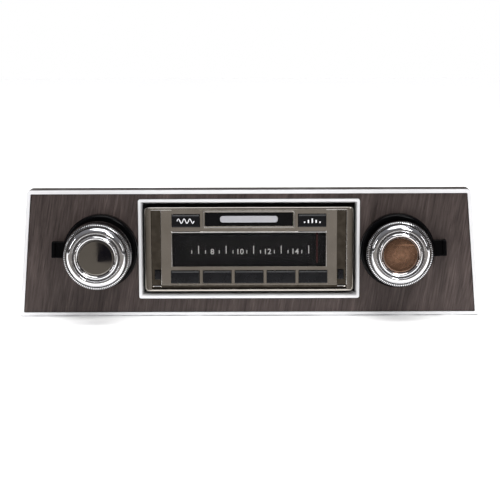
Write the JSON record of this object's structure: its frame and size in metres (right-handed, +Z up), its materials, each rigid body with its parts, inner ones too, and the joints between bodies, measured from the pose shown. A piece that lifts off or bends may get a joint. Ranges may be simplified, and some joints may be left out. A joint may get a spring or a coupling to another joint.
{
  "type": "car radio",
  "caption": "In-dash car radio with a trapezoid wood-grain face plate, dial with moving pointer, push buttons and concentric control knobs.",
  "frame": {"origin": "middle of the face plate's lower rear edge, the edge that seats against the dash", "axes": "+X to the radio's right as the driver sees it, +Y into the dash, +Z up; the face looks along -Y"},
  "size_m": [0.2404, 0.1675, 0.0662],
  "materials": {
    "plate_paint": "dark brown-black satin paint",
    "bright_trim": "bright chrome",
    "walnut_applique": "dark grey-brown walnut grain, satin",
    "nose_chrome": "bright chrome",
    "gloss_black": "gloss black",
    "badge_silver": "satin silver",
    "smoked_lens": "smoked clear acrylic",
    "dial_black": "matt black with printed scale",
    "clear_acrylic": "clear acrylic",
    "pointer_red": "dull red",
    "nylon": "natural nylon",
    "steel": "bright steel",
    "cord": "waxed cord",
    "zinc_sheet": "zinc plated sheet",
    "button_black": "satin black",
    "circuit_board": "green solder mask",
    "black_sheet": "black painted sheet",
    "tin_plate": "tin plate",
    "winding_copper": "enamelled copper winding",
    "capacitor_sleeve": "black-blue sleeve",
    "chip_black": "moulded epoxy",
    "heat_sink_aluminium": "black anodised",
    "nickel": "nickel plated",
    "zinc_bright": "zinc plated",
    "ribbon": "grey ribbon",
    "knob_chrome": "bright chrome, knurled edge",
    "lever_black": "gloss black",
    "brass_turned": "turned brass",
    "smoke_disc": "smoked mirror",
    "copper_disc": "spun copper"
  },
  "bodies": {
    "radio": {"face_plate": "plate_paint", "outer_trim": "bright_trim", "wood_applique": "walnut_applique", "opening_trim": "bright_trim", "nose_bezel": "nose_chrome", "badge_panel": "gloss_black", "badge_bar": "badge_silver", "dial_lens": "smoked_lens", "dial_scale": "dial_black", "light_guide": "clear_acrylic", "pointer_rail": "steel", "dial_cord": "cord", "drive_frame": "zinc_sheet", "switch_board": "circuit_board", "front_panel": "zinc_sheet", "chassis_tray": "zinc_sheet", "top_cover": "zinc_sheet", "dial_hood": "black_sheet", "main_board": "circuit_board", "tuner_can": "tin_plate", "power_choke": "winding_copper", "filter_capacitor": "capacitor_sleeve", "amplifier_chip": "chip_black", "heat_sink": "heat_sink_aluminium", "antenna_socket": "nickel", "wiring_socket": "nylon", "rear_stud": "steel", "rear_stud_nut": "zinc_bright", "ribbon_cable": "ribbon", "left_bushing": "brass_turned", "left_nut": "zinc_bright", "volume_control": "tin_plate", "right_bushing": "brass_turned", "right_nut": "zinc_bright", "tuning_control": "tin_plate", "cover_screw_left_1": "zinc_bright", "cover_screw_left_2": "zinc_bright", "cover_screw_right_1": "zinc_bright", "cover_screw_right_2": "zinc_bright"},
    "volume_dial": {"volume_knob": "knob_chrome", "volume_knob_disc": "smoke_disc", "left_shaft": "steel"},
    "tone_ring": {"tone_lever": "lever_black", "left_sleeve": "steel"},
    "tuning_dial": {"tuning_knob": "knob_chrome", "tuning_knob_disc": "copper_disc", "right_shaft": "steel", "cord_drum": "nylon"},
    "fader_ring": {"fader_lever": "lever_black", "right_sleeve": "steel"},
    "pointer_slider": {"dial_pointer": "pointer_red", "pointer_carriage": "nylon"},
    "idler": {"idler_pulley": "nylon"},
    "band_key": {"band_button": "button_black"},
    "mode_key": {"mode_button": "button_black"},
    "preset_key_1": {"preset_button_1": "button_black"},
    "preset_key_2": {"preset_button_2": "button_black"},
    "preset_key_3": {"preset_button_3": "button_black"},
    "preset_key_4": {"preset_button_4": "button_black"},
    "preset_key_5": {"preset_button_5": "button_black"}
  },
  "joints": [
    {"name": "volume_turn", "type": "hinge", "parent": "radio", "child": "volume_dial", "pos_m": [-0.077, -0.03, 0.0336], "axis": [0, -1, 0], "range_deg": [-150, 150]},
    {"name": "tone_turn", "type": "hinge", "parent": "radio", "child": "tone_ring", "pos_m": [-0.077, -0.016, 0.0336], "axis": [0, -1, 0], "range_deg": [-45, 45]},
    {"name": "tuning_turn", "type": "hinge", "parent": "radio", "child": "tuning_dial", "pos_m": [0.077, -0.026, 0.0336], "axis": [0, -1, 0], "range_deg": [0, 560.7]},
    {"name": "fader_turn", "type": "hinge", "parent": "radio", "child": "fader_ring", "pos_m": [0.077, -0.016, 0.0336], "axis": [0, -1, 0], "range_deg": [-45, 45]},
    {"name": "pointer_slide", "type": "slide", "parent": "radio", "child": "pointer_slider", "axis": [-1, 0, 0], "range_m": [0, 0.069]},
    {"name": "idler_turn", "type": "hinge", "parent": "radio", "child": "idler", "pos_m": [-0.05, 0.026, 0.0336], "axis": [0, -1, 0], "range_deg": [0, 564.7]},
    {"name": "band_press", "type": "slide", "parent": "radio", "child": "band_key", "axis": [0, 1, 0], "range_m": [0, 0.0012], "stiffness_N_per_m": 250, "springref_m": -0.001},
    {"name": "mode_press", "type": "slide", "parent": "radio", "child": "mode_key", "axis": [0, 1, 0], "range_m": [0, 0.0012], "stiffness_N_per_m": 250, "springref_m": -0.001},
    {"name": "preset_1_press", "type": "slide", "parent": "radio", "child": "preset_key_1", "axis": [0, 1, 0], "range_m": [0, 0.0012], "stiffness_N_per_m": 250, "springref_m": -0.001},
    {"name": "preset_2_press", "type": "slide", "parent": "radio", "child": "preset_key_2", "axis": [0, 1, 0], "range_m": [0, 0.0012], "stiffness_N_per_m": 250, "springref_m": -0.001},
    {"name": "preset_3_press", "type": "slide", "parent": "radio", "child": "preset_key_3", "axis": [0, 1, 0], "range_m": [0, 0.0012], "stiffness_N_per_m": 250, "springref_m": -0.001},
    {"name": "preset_4_press", "type": "slide", "parent": "radio", "child": "preset_key_4", "axis": [0, 1, 0], "range_m": [0, 0.0012], "stiffness_N_per_m": 250, "springref_m": -0.001},
    {"name": "preset_5_press", "type": "slide", "parent": "radio", "child": "preset_key_5", "axis": [0, 1, 0], "range_m": [0, 0.0012], "stiffness_N_per_m": 250, "springref_m": -0.001}
  ],
  "couplings": [
    {"joint": "pointer_slide", "follows": "tuning_turn", "m_per_rad": 0.007},
    {"joint": "idler_turn", "follows": "tuning_turn", "ratio": 1}
  ]
}
